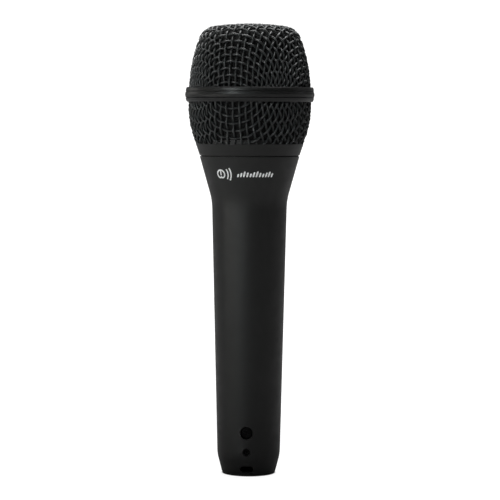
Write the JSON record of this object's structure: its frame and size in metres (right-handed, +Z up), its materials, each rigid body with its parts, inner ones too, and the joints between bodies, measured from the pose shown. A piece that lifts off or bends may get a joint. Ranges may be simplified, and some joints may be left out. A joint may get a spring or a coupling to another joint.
{
  "type": "dynamic microphone",
  "caption": "Hand-held vocal microphone: woven-wire head that unscrews from a tapered die-cast handle, with a shock-mounted moving-coil capsule and a cable connector socket in the foot.",
  "frame": {"origin": "middle of the base rim, on the surface it stands on", "axes": "+Z up along the handle towards the head, -Y the front with the screw recess and the latch slot, +X to the right seen from the front"},
  "size_m": [0.0516, 0.0516, 0.1795],
  "materials": {
    "grille_wire": "black powder coat on woven steel wire",
    "band_paint": "black satin paint",
    "housing_paint": "fine charcoal satin powder coat on die casting",
    "foam": "open-cell black foam",
    "seal_rubber": "black seal ring",
    "thread_brass": "turned brass",
    "barrel_black": "black anodised sleeve",
    "insert_plastic": "moulded black insulator",
    "screw_steel": "black oxide steel",
    "tag_metal": "tinned brass",
    "lead_red": "red insulated lead",
    "lead_black": "black insulated lead",
    "mount_rubber": "soft black elastomer",
    "ring_aluminium": "turned aluminium",
    "mount_screw_steel": "zinc-plated steel",
    "capsule_plastic": "moulded dark grey plastic",
    "board_plastic": "phenolic board",
    "felt": "damping felt",
    "motor_steel": "plated soft iron",
    "magnet_steel": "nickel-plated magnet",
    "film": "thin polyester film",
    "coil_copper": "enamelled copper wire",
    "screen_steel": "fine wire gauze",
    "pin_silver": "silver-plated brass"
  },
  "bodies": {
    "handle": {"handle_housing": "housing_paint", "neck_thread_ring": "thread_brass", "connector_barrel": "barrel_black", "connector_insert": "insert_plastic", "contact_pin_1": "pin_silver", "contact_pin_2": "pin_silver", "contact_pin_3": "pin_silver", "insert_screw": "screw_steel", "barrel_set_screw": "screw_steel", "ground_tab": "tag_metal", "lead_hot": "lead_red", "lead_cold": "lead_black", "shock_mount": "mount_rubber", "mount_ring": "ring_aluminium", "mount_screws": "mount_screw_steel"},
    "seal": {"seal_ring": "seal_rubber"},
    "grille_head": {"grille_collar": "housing_paint", "lower_grille": "grille_wire", "grille_band": "band_paint", "upper_grille": "grille_wire", "lower_foam": "foam", "upper_foam": "foam"},
    "capsule": {"capsule_shell": "capsule_plastic", "rear_chamber": "capsule_plastic", "terminal_board": "board_plastic", "solder_tags": "tag_metal", "damping_felt": "felt", "yoke_cup": "motor_steel", "magnet": "magnet_steel", "pole_piece": "motor_steel", "top_plate": "motor_steel", "surround_ring": "capsule_plastic", "diaphragm_surround": "film", "clamp_ring": "ring_aluminium", "front_cap": "capsule_plastic", "front_screen": "screen_steel"},
    "diaphragm": {"diaphragm_dome": "film", "voice_coil": "coil_copper"}
  },
  "joints": [
    {"name": "grille_unscrew", "type": "hinge", "parent": "handle", "child": "seal", "pos_m": [0, 0, 0.1268], "axis": [0, 0, 1], "range_deg": [0, 1530.1]},
    {"name": "grille_rise", "type": "slide", "parent": "seal", "child": "grille_head", "axis": [0, 0, 1], "range_m": [0, 0.00425]},
    {"name": "capsule_float", "type": "slide", "parent": "handle", "child": "capsule", "axis": [0, 0, 1], "range_m": [-0.001, 0.001], "stiffness_N_per_m": 1500, "deforming": ["shock_mount", "lead_hot", "lead_cold"]},
    {"name": "diaphragm_travel", "type": "slide", "parent": "capsule", "child": "diaphragm", "axis": [0, 0, 1], "range_m": [-0.0003, 0.0003], "stiffness_N_per_m": 270, "deforming": ["diaphragm_surround"]}
  ],
  "couplings": [
    {"joint": "grille_unscrew", "follows": "grille_rise", "rad_per_m": 6283.2}
  ]
}
